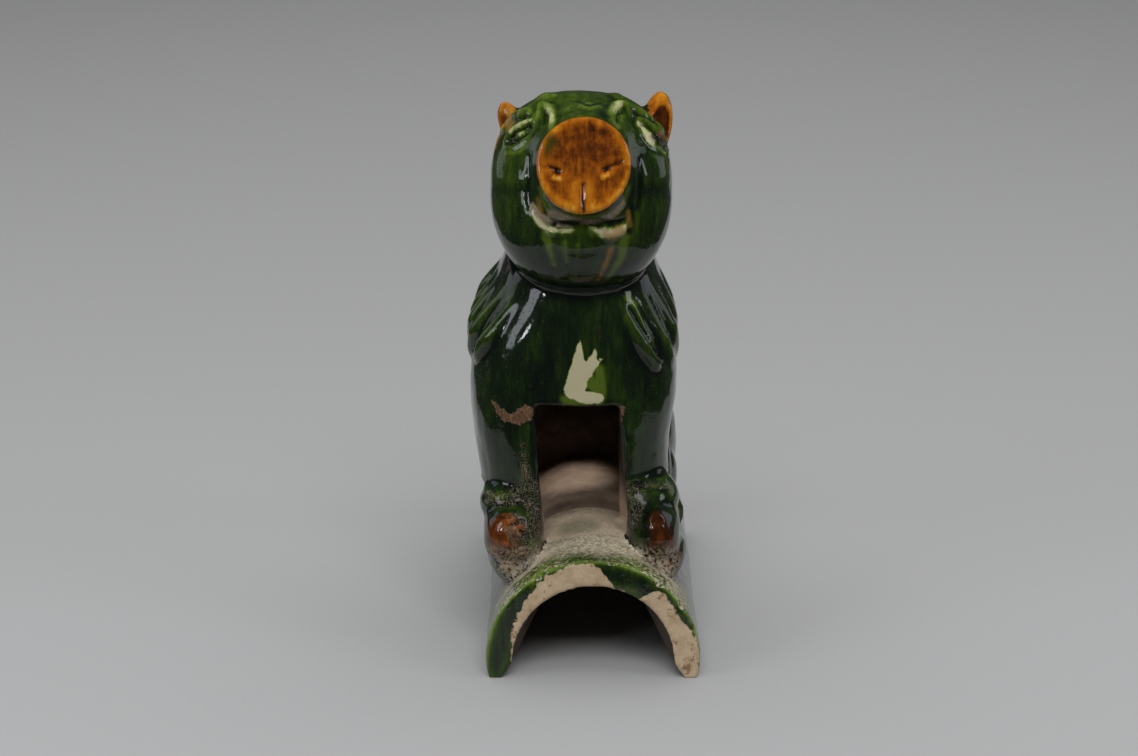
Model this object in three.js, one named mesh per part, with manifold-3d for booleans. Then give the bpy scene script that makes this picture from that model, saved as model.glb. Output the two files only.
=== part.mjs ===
// Ridge-tile beast: a seated, pig-headed beast with small shoulder wings, thrown up in one piece
// with the half-round ridge tile under it. The walls are hollow and open between the legs.
// Millimetres, +Z up, the beast faces -Y, +X is the viewer's right.
import * as THREE from 'three';
import { mergeVertices } from 'three/addons/utils/BufferGeometryUtils.js';
import Module from 'manifold-3d';

const wasm = await Module();
wasm.setup();

// Driving dimensions.
const tile = { length: 250, halfWidth: 60.7, rise: 69.7, wall: 15, footFlat: 8 };
const wall = 11;
const weld = 0.05;
const gap = {
  topLeft: -33.3, topRight: 15, footLeft: -28.5, footRight: 21, top: 148, legBack: -43, legTop: 152,
};
const sideGap = { front: -44, back: -8, top: 122 };
const hooves = [
  {
    side: -1, middle: [-45, -77, 71.5], size: [17.5, 24.5, 18],
    narrow: 0.22, toe: -1.5, ankleX: -47.5, ankleZ: 85,
  },
  {
    side: 1, middle: [35, -77, 72], size: [15.5, 24.5, 18.5],
    narrow: 0.62, toe: 1.5, ankleX: 33, ankleZ: 88,
  },
];
const ankleSize = [18.5, 23.5, 10];
const footing = { x: 46, y: -71, z: 54, size: [12, 25, 17] };
const haunch = { x: 39, y: 38, z: 92, halfWidth: 18, halfDepth: 42, halfHeight: 40 };
const head = {
  y: -58, z: 266.5, halfWidth: 51.2, halfDepth: 46.5, crown: 55.5, chin: 57.5, tilt: 14,
  crownRoundness: 2.5, chinRoundness: 2.2,
};
const snout = { right: 1, reach: 64, rise: 11.5, halfWidth: 25.8, halfHeight: 26.5 };
const ears = [
  { leaf: [-39.5, -1, 37.5], cup: [-43.5, 5, 37], size: [6.5, 8.5, 14], turn: [-12, -16, 42] },
  { leaf: [42, 3, 36.5], cup: [44, 9.5, 35], size: [9, 6.5, 19.5], turn: [-12, 6, -10] },
];

// Ribs of a shoulder wing as [bearing, height] places round the torso, their half widths, and how
// far the top and the foot stand proud. The left wing sits further back, the right one lies flatter.
const wing = {
  leftBack: 13,
  rightFlatter: 0.6,
  ribs: [
    { line: [[-60, 210], [-57, 197], [-53, 181], [-47, 167]], half: 7, top: 0.5, foot: 6.5 },
    { line: [[-47, 212], [-44, 200], [-40, 183], [-34, 164]], half: 7.5, top: 0, foot: 6.5 },
    { line: [[-31, 213], [-29, 202], [-26, 185], [-19, 163]], half: 8.5, top: 0, foot: 7 },
    { line: [[-15, 214], [-13, 203], [-10, 190], [-4, 169]], half: 8.5, top: 0.5, foot: 6.5 },
    { line: [[1, 214], [3, 205], [5, 194], [9, 177]], half: 8, top: 1, foot: 6 },
  ],
};

// Height of the section, its middle's X, where its front and back lie, its half width, its squareness.
const torsoSections = [
  { z: 40, x: -3, front: -76, back: 86, half: 49, power: 2.8 },
  { z: 80, x: -8.3, front: -82, back: 92, half: 55.5, power: 3.4 },
  { z: 118, x: -11.8, front: -84, back: 88, half: 57.2, power: 4.2 },
  { z: 150, x: -11, front: -85, back: 77, half: 60.2, power: 4.2 },
  { z: 185, x: -9.6, front: -85, back: 60, half: 56.8, power: 3.2 },
  { z: 215, x: -8, front: -80, back: 42, half: 46, power: 2.5 },
  { z: 240, x: -7.5, front: -71, back: 22, half: 38, power: 2.2 },
  { z: 262, x: -7, front: -60, back: 2, half: 30, power: 2.1 },
];

// The beast leans a little: its middle drifts from the tile's centre line as it rises.
const leanHeights = [60, 85, 110, 150, 215, 265, 320];
const leanOffsets = [-3, -6, -9.8, -10, -9, -6.5, -6.5];

function lean(z) {
  const last = leanHeights.length - 1;
  const clamped = THREE.MathUtils.clamp(z, leanHeights[0], leanHeights[last]);
  const upper = Math.max(1, leanHeights.findIndex((height) => height >= clamped));
  const part = (clamped - leanHeights[upper - 1]) / (leanHeights[upper] - leanHeights[upper - 1]);
  return THREE.MathUtils.lerp(leanOffsets[upper - 1], leanOffsets[upper], part);
}

// A closed geometry as a solid that can be joined and cut.
function solid(geometry) {
  const plain = geometry.clone();
  plain.deleteAttribute('normal');
  plain.deleteAttribute('uv');
  const merged = mergeVertices(plain, 1e-4);
  return new wasm.Manifold(new wasm.Mesh({
    numProp: 3,
    vertProperties: new Float32Array(merged.attributes.position.array),
    triVerts: new Uint32Array(merged.index.array),
  }));
}

function warp(geometry, place) {
  const points = geometry.attributes.position;
  const point = new THREE.Vector3();
  for (let i = 0; i < points.count; i += 1) {
    point.fromBufferAttribute(points, i);
    place(point);
    points.setXYZ(i, point.x, point.y, point.z);
  }
  return geometry;
}

// A smooth value between the sections of a loft, at part 0 to 1 of its height.
function between(sections, key, part) {
  const spot = part * (sections.length - 1);
  const low = Math.min(Math.floor(spot), sections.length - 2);
  const at = (index) => sections[THREE.MathUtils.clamp(index, 0, sections.length - 1)][key];
  const t = spot - low;
  const slopeLow = (at(low + 1) - at(low - 1)) / 2;
  const slopeHigh = (at(low + 2) - at(low)) / 2;
  const t2 = t * t;
  const t3 = t2 * t;
  return at(low) * (2 * t3 - 3 * t2 + 1) + slopeLow * (t3 - 2 * t2 + t)
    + at(low + 1) * (3 * t2 - 2 * t3) + slopeHigh * (t3 - t2);
}

function squircle(angle, power) {
  const c = Math.cos(angle);
  const s = Math.sin(angle);
  const reach = (Math.abs(c) ** power + Math.abs(s) ** power) ** (-1 / power);
  return [c * reach, s * reach];
}

// A closed form through horizontal sections, drawn in by inset all round.
function loft(sections, around, upward, inset = 0) {
  const tube = new THREE.CylinderGeometry(1, 1, 1, around, upward);
  return warp(tube, (point) => {
    const part = point.y + 0.5;
    const radius = Math.hypot(point.x, point.z);
    const [c, s] = squircle(Math.atan2(-point.z, point.x), between(sections, 'power', part));
    const front = between(sections, 'front', part) + inset;
    const back = between(sections, 'back', part) - inset;
    const half = between(sections, 'half', part) - inset;
    const x = between(sections, 'x', part) + radius * c * half;
    const y = (front + back) / 2 + radius * s * (back - front) / 2;
    point.set(x, y, between(sections, 'z', part));
  });
}

// An egg with half sizes size, turned by the angles in degrees and set down at centre.
function egg(centre, size, turn = [0, 0, 0], around = 12, upward = 8) {
  const ball = new THREE.SphereGeometry(1, around, upward);
  ball.scale(...size);
  const radians = turn.map(THREE.MathUtils.degToRad);
  ball.applyMatrix4(new THREE.Matrix4().makeRotationFromEuler(new THREE.Euler(...radians, 'ZYX')));
  ball.translate(...centre);
  return solid(ball);
}

// Half-round arch standing on two feet, extruded along Y and carried down and past each end by extra.
function arch(halfWidth, rise, footIn, extra) {
  const springing = rise - halfWidth;
  const outline = new THREE.Shape();
  outline.moveTo(halfWidth - footIn, -extra);
  outline.lineTo(halfWidth - footIn, 0);
  outline.lineTo(halfWidth, springing);
  outline.absarc(0, springing, halfWidth, 0, Math.PI, false);
  outline.lineTo(footIn - halfWidth, 0);
  outline.lineTo(footIn - halfWidth, -extra);
  outline.closePath();
  const length = tile.length + 2 * extra;
  const form = new THREE.ExtrudeGeometry(outline, { depth: length, bevelEnabled: false, curveSegments: 28 });
  form.rotateX(Math.PI / 2);
  form.translate(0, length / 2, 0);
  return solid(form);
}

function ridgeTile() {
  return arch(tile.halfWidth, tile.rise, 1.2, 0);
}

function tunnel() {
  const flare = tile.wall - tile.footFlat - 1.2;
  return arch(tile.halfWidth - tile.wall, tile.rise - tile.wall, -flare, 10);
}

function slab(low, high) {
  const [x, y, z] = low.map((value, axis) => high[axis] - value);
  const block = new THREE.BoxGeometry(x, y, z);
  block.translate(low[0] + x / 2, low[1] + y / 2, low[2] + z / 2);
  return block;
}

// The inside follows the torso and runs up the neck into the head as a narrowing dome. The two
// front legs stay solid beside the gap.
function hollow() {
  const low = torsoSections.slice(0, 6);
  const neck = [
    { z: 240, x: -8, front: -75, back: 10, half: 33, power: 2.2 },
    { z: 262, x: -6.5, front: -84, back: -14, half: 34, power: 2.1 },
    { z: 284, x: -6.5, front: -80, back: -22, half: 30, power: 2 },
    { z: 297, x: -6.5, front: -64, back: -38, half: 13, power: 2 },
  ];
  const inner = low.map((section) => ({
    ...section,
    front: section.front + wall,
    back: section.back - wall,
    half: section.half - wall,
  }));
  const leftLeg = slab([-100, -120, 0], [gap.topLeft - 1, gap.legBack, gap.legTop]);
  const rightLeg = slab([gap.topRight + 1, -120, 0], [100, gap.legBack, gap.legTop]);
  return solid(loft([...inner, ...neck], 20, 11)).subtract(solid(leftLeg)).subtract(solid(rightLeg));
}

function archway(sizeX, sizeY, low, high, centre) {
  const radius = sizeY / 2;
  const shape = new THREE.Shape();
  shape.moveTo(-radius, low);
  shape.lineTo(radius, low);
  shape.lineTo(radius, high - radius);
  shape.absarc(0, high - radius, radius, 0, Math.PI, false);
  shape.closePath();
  const form = new THREE.ExtrudeGeometry(shape, { depth: sizeX, bevelEnabled: false, curveSegments: 8 });
  form.rotateX(Math.PI / 2);
  form.rotateZ(Math.PI / 2);
  form.translate(centre[0] - sizeX / 2, centre[1], 0);
  return solid(form);
}

// The gap between the front legs widens and drifts a little towards its foot.
function frontOpening() {
  const low = tile.rise - 40;
  const block = slab([gap.topLeft, -120, low], [gap.topRight, -50, gap.top]);
  const fall = (gap.top - low) / (gap.top - tile.rise);
  warp(block, (point) => {
    if (point.z > tile.rise) return;
    point.x += fall * (point.x < 0 ? gap.footLeft - gap.topLeft : gap.footRight - gap.topRight);
  });
  return solid(block);
}

function sideOpening() {
  const middle = (sideGap.front + sideGap.back) / 2;
  return archway(200, sideGap.back - sideGap.front, tile.rise - 40, sideGap.top, [0, middle]);
}

// A blunt hoof that narrows to the top of its toe, the ankle over it and the footing under it.
function frontHoof({ side, middle, size, narrow, toe, ankleX, ankleZ }) {
  const ball = new THREE.SphereGeometry(1, 16, 11);
  warp(ball, (point) => {
    const power = 2.6;
    const sum = Math.abs(point.x) ** power + Math.abs(point.y) ** power + Math.abs(point.z) ** power;
    point.multiplyScalar(sum ** (-1 / power));
    const { x, y: up, z: forward } = point;
    const ahead = Math.max(0, forward);
    const taper = 1 - narrow * ahead * (up + 0.6) / 1.6;
    const lift = 0.25 * ahead * (1 - Math.abs(x)) * Math.max(0, up);
    const depth = 1 - 0.3 * Math.max(0, -up) * ahead;
    point.set(
      middle[0] + size[0] * x * taper + toe * ahead,
      middle[1] - size[1] * forward * depth,
      middle[2] + size[2] * (up + lift),
    );
  });
  const under = egg([side * footing.x - 1.5, footing.y, footing.z], footing.size, [0, side * 30, 0]);
  const ankle = egg([ankleX, -63, ankleZ], ankleSize, [-6, 0, side * 4]);
  return solid(ball).add(ankle).add(under);
}

function hindLeg(side) {
  const middle = lean(haunch.z) + 2;
  const thigh = egg(
    [middle + side * haunch.x, haunch.y, haunch.z],
    [haunch.halfWidth, haunch.halfDepth, haunch.halfHeight],
    [12, 0, 0], 16, 9,
  );
  const knee = egg([middle + side * (haunch.x + 3.5), 10, 78], [14, 19, 24], [-20, 0, 0]);
  const foot = egg([side * 43, -4, 58], [13, 23, 13], [0, 0, side * 6]);
  return thigh.add(knee).add(foot);
}

// Points of the head are given along its own axes: right, forward and up, from its middle.
const headTilt = THREE.MathUtils.degToRad(head.tilt);
const forwardAxis = new THREE.Vector3(0, -Math.cos(headTilt), Math.sin(headTilt));
const upAxis = new THREE.Vector3(0, Math.sin(headTilt), Math.cos(headTilt));
const headMiddle = new THREE.Vector3(lean(head.z), head.y, head.z);

function onHead(right, forward, up) {
  const spot = headMiddle.clone();
  spot.x += right;
  return spot.addScaledVector(forwardAxis, forward).addScaledVector(upAxis, up);
}

function eggOnHead(right, forward, up, size, turn, around = 12, upward = 7) {
  const spot = onHead(right, forward, up);
  return egg([spot.x, spot.y, spot.z], size, turn, around, upward);
}

function skull() {
  const ball = new THREE.SphereGeometry(1, 28, 18);
  warp(ball, (point) => {
    const { x, y, z } = point;
    const power = y > 0 ? head.crownRoundness : head.chinRoundness;
    const tall = y > 0 ? head.crown : head.chin;
    const reach = (Math.abs(x) ** power + Math.abs(y) ** power + Math.abs(z) ** power) ** (-1 / power);
    point.copy(onHead(head.halfWidth * x * reach, head.halfDepth * z * reach, tall * y * reach));
  });
  return solid(ball);
}

// The muzzle narrows from the face, then flares to the flat disc at its end.
function muzzle() {
  const profile = [
    new THREE.Vector2(0, 16),
    new THREE.Vector2(38, 16),
    new THREE.Vector2(34.5, 34),
    new THREE.Vector2(28, 45),
    new THREE.Vector2(24.2, 53),
    new THREE.Vector2(24.6, 57),
    new THREE.Vector2(25.8, 60),
    new THREE.Vector2(25.2, 63),
    new THREE.Vector2(23.4, snout.reach),
    new THREE.Vector2(21, snout.reach - 1.4),
    new THREE.Vector2(0, snout.reach - 0.6),
  ];
  const form = new THREE.LatheGeometry(profile, 26);
  warp(form, (point) => {
    const high = (snout.halfHeight / snout.halfWidth) * point.x;
    point.copy(onHead(snout.right + point.z, point.y, snout.rise + high));
  });
  return solid(form);
}

function nostril(side) {
  return eggOnHead(side * 13.2, snout.reach, snout.rise - 2.5, [2.2, 4, 2.2], [-head.tilt, 0, 0], 8, 6);
}

function jaw() {
  return eggOnHead(0.5, 25, -25, [28, 21, 16], [-head.tilt, 0, 0], 20, 11);
}

// The line of the mouth: a thin slot under the muzzle, its ends turned up into the cheeks.
function mouth() {
  const slot = new THREE.BoxGeometry(53, 12, 2.4, 12, 1, 1);
  warp(slot, (point) => {
    const outward = point.x / 26.5;
    const curve = 7 * outward ** 2;
    const thin = 1 - 0.6 * outward ** 2;
    point.copy(onHead(point.x, 47.5 - 9 * outward ** 2 - point.y, -19.5 + curve + point.z * thin));
  });
  return solid(slot);
}

function ear({ leaf, cup, size, turn }) {
  const [width, depth, height] = size;
  return {
    leaf: eggOnHead(...leaf, size, turn, 12, 9),
    cup: eggOnHead(...cup, [0.55 * width, depth, 0.68 * height], turn, 10, 6),
  };
}

function eye(side) {
  const ball = eggOnHead(2.5 + side * 36, 24, 31, [8.5, 7, 5.6], [0, side * 34, 0]);
  const brow = eggOnHead(1 + side * 27, 22, 42, [14, 8, 6], [0, side * 36, side * -20]);
  return ball.add(brow);
}

// The place on the torso at a bearing and a height, with the way along the skin and the way out.
function onTorso(side, angle, z) {
  const bearing = THREE.MathUtils.degToRad(side > 0 ? angle : 180 - angle - wing.leftBack);
  const last = torsoSections.length - 1;
  const upper = THREE.MathUtils.clamp(torsoSections.findIndex((section) => section.z >= z), 1, last);
  const [a, b] = [torsoSections[upper - 1], torsoSections[upper]];
  const part = THREE.MathUtils.clamp((z - a.z) / (b.z - a.z), 0, 1);
  const mix = (key) => THREE.MathUtils.lerp(a[key], b[key], part);
  const [place, next] = [0, 0.01].map((step) => {
    const [c, s] = squircle(bearing + step, mix('power'));
    const y = (mix('front') + mix('back')) / 2 + (mix('back') - mix('front')) / 2 * s;
    return new THREE.Vector3(mix('x') + mix('half') * c, y, z);
  });
  const along = next.sub(place).normalize();
  const outward = new THREE.Vector3(along.y, -along.x, 0);
  return { place, along: along.multiplyScalar(side), outward };
}

// One rounded rib of a wing, lying along its line on the torso.
function rib(side, { line, half, top, foot }, flatter) {
  const path = new THREE.CatmullRomCurve3(line.map(([angle, z]) => new THREE.Vector3(angle, z, 0)));
  const ball = new THREE.SphereGeometry(1, 10, 9);
  warp(ball, (point) => {
    const share = (point.y + 1) / 2;
    const spot = path.getPoint(share);
    const { place, along, outward } = onTorso(side, spot.x, spot.y);
    const proud = flatter * (top + (foot - top) * Math.min(1, share * 1.54));
    const [across, out] = [point.x * half, point.z * proud];
    point.copy(place).addScaledVector(along, across).addScaledVector(outward, out);
  });
  const form = solid(ball);
  return form.volume() < 0 ? flipped(ball) : form;
}

function flipped(geometry) {
  const index = geometry.index.array;
  for (let i = 0; i < index.length; i += 3) {
    [index[i], index[i + 1]] = [index[i + 1], index[i]];
  }
  return solid(geometry);
}

function wingOn(side) {
  return wing.ribs
    .map((shape, row) => rib(side, shape, side > 0 && row > 0 ? wing.rightFlatter : 1))
    .reduce((sum, feather) => sum.add(feather));
}

// A short tail curled flat against the rump.
function tail() {
  const curve = new THREE.CatmullRomCurve3([
    new THREE.Vector3(-9, 80, 72),
    new THREE.Vector3(-7, 94, 88),
    new THREE.Vector3(-4, 93, 108),
    new THREE.Vector3(6, 88, 122),
    new THREE.Vector3(12, 88, 110),
    new THREE.Vector3(6, 91, 102),
  ]);
  const section = new THREE.Shape();
  section.absarc(0, 0, 5.5, 0, 2 * Math.PI, false);
  const options = { steps: 12, extrudePath: curve, curveSegments: 4 };
  return solid(new THREE.ExtrudeGeometry(section, options));
}

function beast() {
  const torso = solid(loft(torsoSections, 32, 12)).subtract(sideOpening()).subtract(frontOpening());
  let body = torso.add(skull()).add(hindLeg(-1)).add(hindLeg(1)).subtract(hollow());
  body = body.add(muzzle()).add(jaw()).subtract(mouth()).add(tail());
  for (const hoof of hooves) body = body.add(frontHoof(hoof));
  for (const side of [-1, 1]) body = body.add(wingOn(side)).add(eye(side)).subtract(nostril(side));
  for (const { leaf, cup } of ears.map(ear)) body = body.add(leaf).subtract(cup);
  return body.add(ridgeTile()).subtract(tunnel());
}

// The joined form as a mesh, with the slivers that the joins leave welded shut. Its triangles are
// listed from the largest down, because readers take the outward side from the first faces.
function meshOf(form) {
  const { vertProperties, triVerts } = form.getMesh();
  const joined = new THREE.BufferGeometry();
  joined.setAttribute('position', new THREE.BufferAttribute(vertProperties, 3));
  joined.setIndex(new THREE.BufferAttribute(triVerts, 1));
  const geometry = mergeVertices(joined, weld);
  const corners = geometry.index.array;
  const triangle = new THREE.Triangle();
  const kept = [];
  for (let i = 0; i < corners.length; i += 3) {
    const [a, b, c] = corners.slice(i, i + 3);
    triangle.setFromAttributeAndIndices(geometry.attributes.position, a, b, c);
    if (a !== b && b !== c && c !== a) kept.push({ area: triangle.getArea(), corners: [a, b, c] });
  }
  kept.sort((first, second) => second.area - first.area);
  geometry.setIndex(kept.flatMap((entry) => entry.corners));
  geometry.computeVertexNormals();
  const glaze = new THREE.MeshStandardMaterial({ color: 0x1e4a1c, roughness: 0.18, metalness: 0 });
  return new THREE.Mesh(geometry, glaze);
}

const figure = meshOf(beast());
figure.name = 'ridge_beast';

// The origin is under the middle of the whole piece's bounding box, on the surface it stands on.
const bounds = new THREE.Box3().setFromObject(figure);
const centre = bounds.getCenter(new THREE.Vector3());
figure.position.set(-centre.x, -centre.y, -bounds.min.z);

const group = new THREE.Group();
group.add(figure);

export default group;
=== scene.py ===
import math

import bmesh
import bpy
import numpy as np
from mathutils import Euler, Matrix, Vector, noise
from mathutils.bvhtree import BVHTree


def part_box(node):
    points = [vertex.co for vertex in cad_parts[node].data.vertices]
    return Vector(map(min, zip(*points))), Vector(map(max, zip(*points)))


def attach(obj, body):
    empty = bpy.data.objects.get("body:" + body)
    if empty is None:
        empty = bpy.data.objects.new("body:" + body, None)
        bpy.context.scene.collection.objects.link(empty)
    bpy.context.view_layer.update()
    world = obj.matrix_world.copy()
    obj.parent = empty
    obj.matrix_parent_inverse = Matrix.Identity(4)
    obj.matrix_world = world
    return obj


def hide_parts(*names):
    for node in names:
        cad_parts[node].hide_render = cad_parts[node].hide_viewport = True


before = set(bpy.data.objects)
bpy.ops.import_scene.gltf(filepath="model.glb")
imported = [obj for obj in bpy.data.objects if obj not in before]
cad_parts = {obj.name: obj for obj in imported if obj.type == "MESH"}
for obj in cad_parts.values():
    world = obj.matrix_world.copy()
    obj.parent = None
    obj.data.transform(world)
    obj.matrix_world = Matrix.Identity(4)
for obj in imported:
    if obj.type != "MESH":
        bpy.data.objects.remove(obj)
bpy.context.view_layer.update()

# Modelling is in millimetres, with X = 0 on the tile's centre line and the beast facing -Y.
# The last step scales the finished mesh to metres and sets it on the frame.

tile = {
    "halfWidth": 60.7,
    "rise": 69.7,
    "wall": 15,
    "length": 250,
    "footFlat": 8,
    "footTuck": 1.2,
    "steps": 72,
}

# height, middle x, front, back, half width, squareness
torso = {
    "around": 64,
    "rings": 48,
    "sections": [
        (40, -3, -76, 86, 49, 2.8),
        (80, -8.3, -82, 92, 55.5, 3.4),
        (118, -11.8, -84, 88, 57.2, 4.2),
        (150, -11, -85, 77, 60.2, 4.2),
        (185, -9.6, -85, 60, 56.8, 3.2),
        (215, -8, -80, 42, 46, 2.5),
        (240, -7.5, -71, 22, 38, 2.2),
        (262, -7, -60, 2, 30, 2.1),
    ],
}

hollow = {
    "wall": 11,
    "neck": [
        (240, -8, -75, 10, 33, 2.2),
        (262, -6.5, -84, -14, 34, 2.1),
        (284, -6.5, -80, -22, 30, 2),
        (297, -6.5, -64, -38, 13, 2),
    ],
}

gaps = {
    "frontTopSides": (-33.3, 15),
    "frontFootSides": (-28.5, 21),
    "frontTop": 148,
    "legBack": -43,
    "legTop": 152,
    "sideFront": -44,
    "sideBack": -8,
    "sideTop": 122,
    "floor": 30,
}

leaning = {"heights": (60, 85, 110, 150, 215, 265, 320), "offsets": (-3, -6, -9.8, -10, -9, -6.5, -6.5)}

head = {
    "y": -58,
    "z": 266.5,
    "halfWidth": 51.2,
    "halfDepth": 46.5,
    "crown": 55.5,
    "chin": 57.5,
    "tilt": 14,
    "crownRoundness": 2.5,
    "chinRoundness": 2.2,
    "socket": (36, 30, 9.5, 4.2),
}

mm = 0.001
detail = 1.62
wantedTriangles = 158000
fineStroke = {"width": 1.3, "above": 230, "reach": 0.6}  # strokes under which the faces are made smaller


def lean(z):
    return float(np.interp(z, leaning["heights"], leaning["offsets"]))


def reachOf(power, *parts):
    # how far a point on a round goes out when the round is squared off
    return sum(abs(part) ** power for part in parts) ** (-1 / power)


def onSection(section, angle):
    z, x, front, back, half, power = section
    c, s = math.cos(angle), math.sin(angle)
    reach = reachOf(power, c, s)
    return Vector((x + half * c * reach, (front + back) / 2 + (back - front) / 2 * s * reach, z))


def between(sections, part):
    # a smooth section part of the way up the list, each number on its own spline
    spot = part * (len(sections) - 1)
    low = min(int(spot), len(sections) - 2)
    t = spot - low
    last = len(sections) - 1
    before, start, end, after = (sections[min(max(low + k, 0), last)] for k in (-1, 0, 1, 2))
    blended = []
    for a, b, c, d in zip(before, start, end, after):
        slopeIn, slopeOut = (c - a) / 2, (d - b) / 2
        blended.append(
            b * (2 * t**3 - 3 * t**2 + 1) + slopeIn * (t**3 - 2 * t**2 + t)
            + c * (3 * t**2 - 2 * t**3) + slopeOut * (t**3 - t**2)
        )
    return blended


def ringEdges(ring):
    corners = set(ring)
    return [edge for edge in {e for v in ring for e in v.link_edges} if set(edge.verts) <= corners]


def outwards(form):
    bmesh.ops.recalc_face_normals(form, faces=form.faces)
    return form


def loft(sections, around, rings):
    form = bmesh.new()
    loops = []
    for step in range(rings):
        section = between(sections, step / (rings - 1))
        ring = bmesh.ops.create_circle(form, segments=around, radius=1)["verts"]
        for vert in ring:
            vert.co = onSection(section, math.atan2(vert.co.y, vert.co.x))
        loops.append(ringEdges(ring))
    for lower, upper in zip(loops, loops[1:]):
        bmesh.ops.bridge_loops(form, edges=lower + upper)
    for end in (loops[0], loops[-1]):
        bmesh.ops.contextual_create(form, geom=end)
    return outwards(form)


def ball(around, upward, place=Matrix()):
    form = bmesh.new()
    bmesh.ops.create_uvsphere(form, u_segments=around, v_segments=upward, radius=1, matrix=place)
    return form


def egg(centre, size, turn=(0, 0, 0), around=32, upward=20):
    turned = Euler([math.radians(a) for a in turn]).to_matrix().to_4x4()
    return ball(around, upward, Matrix.Translation(centre) @ turned @ Matrix.Diagonal((*size, 1)))


def lathe(profile, steps):
    # profile of (radius, height) from the axis and back to it, spun round Z
    form = bmesh.new()
    verts = [form.verts.new((radius, 0, height)) for radius, height in profile]
    edges = [form.edges.new(pair) for pair in zip(verts, verts[1:])]
    bmesh.ops.spin(
        form, geom=verts + edges, cent=(0, 0, 0), axis=(0, 0, 1),
        angle=math.tau, steps=steps, use_merge=True,
    )
    bmesh.ops.remove_doubles(form, verts=form.verts, dist=1e-4)
    return outwards(form)


def block(low, high):
    form = bmesh.new()
    size = [b - a for a, b in zip(low, high)]
    middle = [(a + b) / 2 for a, b in zip(low, high)]
    bmesh.ops.create_cube(form, size=1, matrix=Matrix.Translation(middle) @ Matrix.Diagonal((*size, 1)))
    return form


def meshed(form, name):
    mesh = bpy.data.meshes.new(name)
    form.to_mesh(mesh)
    form.free()
    made = bpy.data.objects.new(name, mesh)
    bpy.context.collection.objects.link(made)
    return made


def joined(forms, name):
    whole = bmesh.new()
    for form in forms:
        part = bpy.data.meshes.new("part")
        form.to_mesh(part)
        form.free()
        whole.from_mesh(part)
        bpy.data.meshes.remove(part)
    return meshed(whole, name)


def applied(made):
    ready = made.evaluated_get(bpy.context.evaluated_depsgraph_get())
    mesh = bpy.data.meshes.new_from_object(ready)
    old = made.data
    made.modifiers.clear()
    made.data = mesh
    bpy.data.meshes.remove(old)
    return made


def remeshed(made, voxel):
    change = made.modifiers.new("clay", "REMESH")
    change.mode = "VOXEL"
    change.voxel_size = voxel
    return applied(made)


def smoothed(made, rounds):
    # each softening step is followed by a swelling one, so nothing shrinks
    for factor in (0.6, -0.62) * rounds:
        change = made.modifiers.new("soften", "SMOOTH")
        change.factor = factor
        change.iterations = 1
    return applied(made)


def cut(made, cutter):
    change = made.modifiers.new("cut", "BOOLEAN")
    change.operation = "DIFFERENCE"
    change.solver = "MANIFOLD"
    change.object = cutter
    return applied(made)


def treeOf(made):
    form = bmesh.new()
    form.from_mesh(made.data)
    tree = BVHTree.FromBMesh(form)
    form.free()
    return tree


# places on the head: right, forward and up from its middle, along its own tilted axes
tilted = math.radians(head["tilt"])
headForward = Vector((0, -math.cos(tilted), math.sin(tilted)))
headUp = Vector((0, math.sin(tilted), math.cos(tilted)))
headMiddle = Vector((lean(head["z"]), head["y"], head["z"]))


def onHead(right, forward, up):
    return headMiddle + Vector((right, 0, 0)) + headForward * forward + headUp * up


def skull():
    form = ball(80, 56)
    right, up, width, depth = head["socket"]
    for vert in form.verts:
        x, y, z = vert.co
        power = head["crownRoundness"] if z > 0 else head["chinRoundness"]
        tall = head["crown"] if z > 0 else head["chin"]
        reach = reachOf(power, x, y, z)
        across, forward = head["halfWidth"] * x * reach, -head["halfDepth"] * y * reach
        high = tall * z * reach
        if forward > 0:
            away = ((abs(across) - right) ** 2 + (high - up) ** 2) / width**2
            forward -= depth * math.exp(-away)
        vert.co = onHead(across, forward, high)
    return form


snout = {
    "right": 1.0,
    "rise": 11.5,
    "tall": 1.03,
    "base": [(0, 16), (38, 16), (34.5, 34), (28.5, 45), (24.6, 52), (24, 56), (0, 57)],
    "disc": [(0, 46), (23.6, 46), (24.2, 54), (24.8, 57.5), (25.9, 60.2), (26, 61.6), (25.2, 63.2),
             (24, 64), (23, 63.6), (22, 62.9), (0, 63.1)],
}


def onSnout(profile):
    form = lathe(profile, 72)
    for vert in form.verts:
        across, up, forward = vert.co.x, vert.co.y * snout["tall"], vert.co.z
        vert.co = onHead(snout["right"] + across, forward, snout["rise"] + up)
    return outwards(form)


jaw = {"at": (0.5, 25, -25), "size": (28, 21, 16)}
haunch = {
    "x": 39, "y": 38, "z": 92, "size": (18, 42, 40), "knee": (14, 19, 24),
    "foot": (13, 23, 13), "footX": 43,
}


def hindLeg(side):
    middle = lean(haunch["z"]) + 2
    return [
        egg((middle + side * haunch["x"], haunch["y"], haunch["z"]), haunch["size"], (12, 0, 0)),
        egg((middle + side * (haunch["x"] + 3.5), 10, 78), haunch["knee"], (-20, 0, 0)),
        egg((side * haunch["footX"], -4, 58), haunch["foot"], (0, 0, side * 6)),
    ]


# each hoof: middle and half sizes, how much it narrows to the top of its toe, and the ankle above it
hooves = {
    -1: {
        "middle": (-45, -77, 71.5), "size": (17.5, 24.5, 18), "narrow": 0.22, "toe": -1.5,
        "ankle": (-47.5, -63, 85),
    },
    1: {
        "middle": (35, -77, 72), "size": (15.5, 24.5, 18.5), "narrow": 0.62, "toe": 1.5,
        "ankle": (33, -63, 88),
    },
}
ankleSize = (17.2, 23.5, 16)
footing = {"x": 44.5, "y": -71, "z": 54, "size": (12, 25, 17)}


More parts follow.
